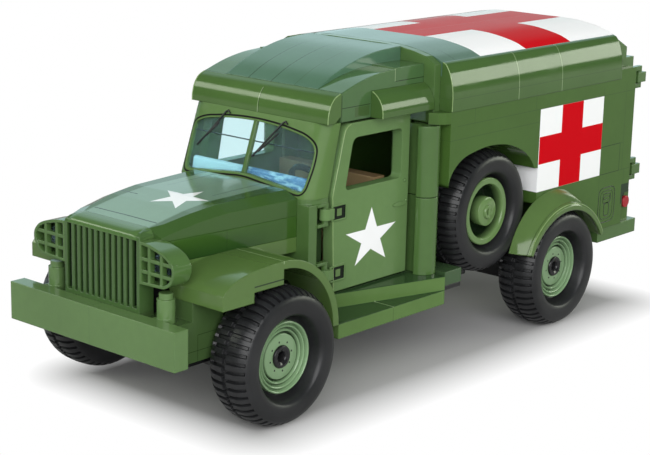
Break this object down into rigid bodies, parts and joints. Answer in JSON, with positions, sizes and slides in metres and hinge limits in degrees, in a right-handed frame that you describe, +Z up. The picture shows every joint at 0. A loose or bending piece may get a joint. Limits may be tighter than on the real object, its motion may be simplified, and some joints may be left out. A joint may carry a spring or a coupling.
{
  "type": "military ambulance truck",
  "caption": "Brick-built toy of a wartime field ambulance truck: bonnet, cab with doors, box body with rear doors, spare wheel in a side recess, rolling wheels.",
  "frame": {"origin": "centre of the footprint on the ground, at the bottom of the tyres", "axes": "+X forward, +Y left, +Z up"},
  "size_m": [0.196, 0.075, 0.0838],
  "materials": {
    "green_plastic": "moulded glossy olive green",
    "rim_green": "moulded glossy green",
    "black_plastic": "moulded glossy black",
    "seat_tan": "moulded tan",
    "tyre": "matt black rubber",
    "glass": "clear pale blue plastic",
    "lens": "clear pale blue plastic",
    "red_lamp": "glossy red"
  },
  "bodies": {
    "hull": {"axle_front": "black_plastic", "axle_rear": "black_plastic", "bench_left": "seat_tan", "bench_right": "seat_tan", "body_roof": "green_plastic", "body_side_left": "green_plastic", "body_side_right": "green_plastic", "bulkhead": "green_plastic", "cab_roof_centre": "green_plastic", "cab_roof_header": "green_plastic", "cab_roof_side_left": "green_plastic", "cab_roof_side_right": "green_plastic", "chassis_frame": "black_plastic", "dashboard": "green_plastic", "door_column_left": "green_plastic", "door_column_right": "green_plastic", "floor_plate": "green_plastic", "front_bumper": "green_plastic", "front_deck": "green_plastic", "front_fender_left": "green_plastic", "front_fender_right": "green_plastic", "grille": "green_plastic", "headlight_guard_left": "green_plastic", "headlight_guard_right": "green_plastic", "headlight_lens_left": "lens", "headlight_lens_right": "lens", "hood_side_left": "green_plastic", "hood_side_right": "green_plastic", "hood_top": "green_plastic", "radiator_block": "black_plastic", "rear_fender_left": "green_plastic", "rear_fender_right": "green_plastic", "rear_frame": "green_plastic", "rear_step": "green_plastic", "roof_rail_left": "green_plastic", "roof_rail_right": "green_plastic", "running_board_left": "green_plastic", "running_board_right": "green_plastic", "scuttle": "green_plastic", "seat_left": "seat_tan", "seat_right": "seat_tan", "spare_rim": "rim_green", "spare_tyre": "tyre", "steering_wheel": "black_plastic", "tail_lamp_left": "red_lamp", "tail_lamp_right": "red_lamp", "windscreen_frame": "green_plastic", "windscreen_glass": "glass"},
    "wheel_front_left": {"rim_front_left": "rim_green", "tyre_front_left": "tyre"},
    "wheel_front_right": {"rim_front_right": "rim_green", "tyre_front_right": "tyre"},
    "wheel_rear_left": {"rim_rear_left": "rim_green", "tyre_rear_left": "tyre"},
    "wheel_rear_right": {"rim_rear_right": "rim_green", "tyre_rear_right": "tyre"},
    "cab_door_left": {"cab_door_left": "green_plastic"},
    "rear_door_left": {"rear_door_left": "green_plastic"},
    "cab_door_right": {"cab_door_right": "green_plastic"},
    "rear_door_right": {"rear_door_right": "green_plastic"}
  },
  "joints": [
    {"name": "wheel_front_left_spin", "type": "hinge", "parent": "hull", "child": "wheel_front_left", "pos_m": [0.0673, 0.0312, 0.0171], "axis": [0, 1, 0], "continuous": true},
    {"name": "wheel_front_right_spin", "type": "hinge", "parent": "hull", "child": "wheel_front_right", "pos_m": [0.0673, -0.0312, 0.0171], "axis": [0, 1, 0], "continuous": true},
    {"name": "wheel_rear_left_spin", "type": "hinge", "parent": "hull", "child": "wheel_rear_left", "pos_m": [-0.048, 0.0312, 0.0171], "axis": [0, 1, 0], "continuous": true},
    {"name": "wheel_rear_right_spin", "type": "hinge", "parent": "hull", "child": "wheel_rear_right", "pos_m": [-0.048, -0.0312, 0.0171], "axis": [0, 1, 0], "continuous": true},
    {"name": "cab_door_left_hinge", "type": "hinge", "parent": "hull", "child": "cab_door_left", "pos_m": [0.041, 0.0236, 0.04], "axis": [0, 0, -1], "range_deg": [0, 75]},
    {"name": "rear_door_left_hinge", "type": "hinge", "parent": "hull", "child": "rear_door_left", "pos_m": [-0.0964, 0.0286, 0.048], "axis": [0, 0, -1], "range_deg": [0, 100]},
    {"name": "cab_door_right_hinge", "type": "hinge", "parent": "hull", "child": "cab_door_right", "pos_m": [0.041, -0.0236, 0.04], "axis": [0, 0, 1], "range_deg": [0, 75]},
    {"name": "rear_door_right_hinge", "type": "hinge", "parent": "hull", "child": "rear_door_right", "pos_m": [-0.0964, -0.0286, 0.048], "axis": [0, 0, 1], "range_deg": [0, 100]}
  ]
}
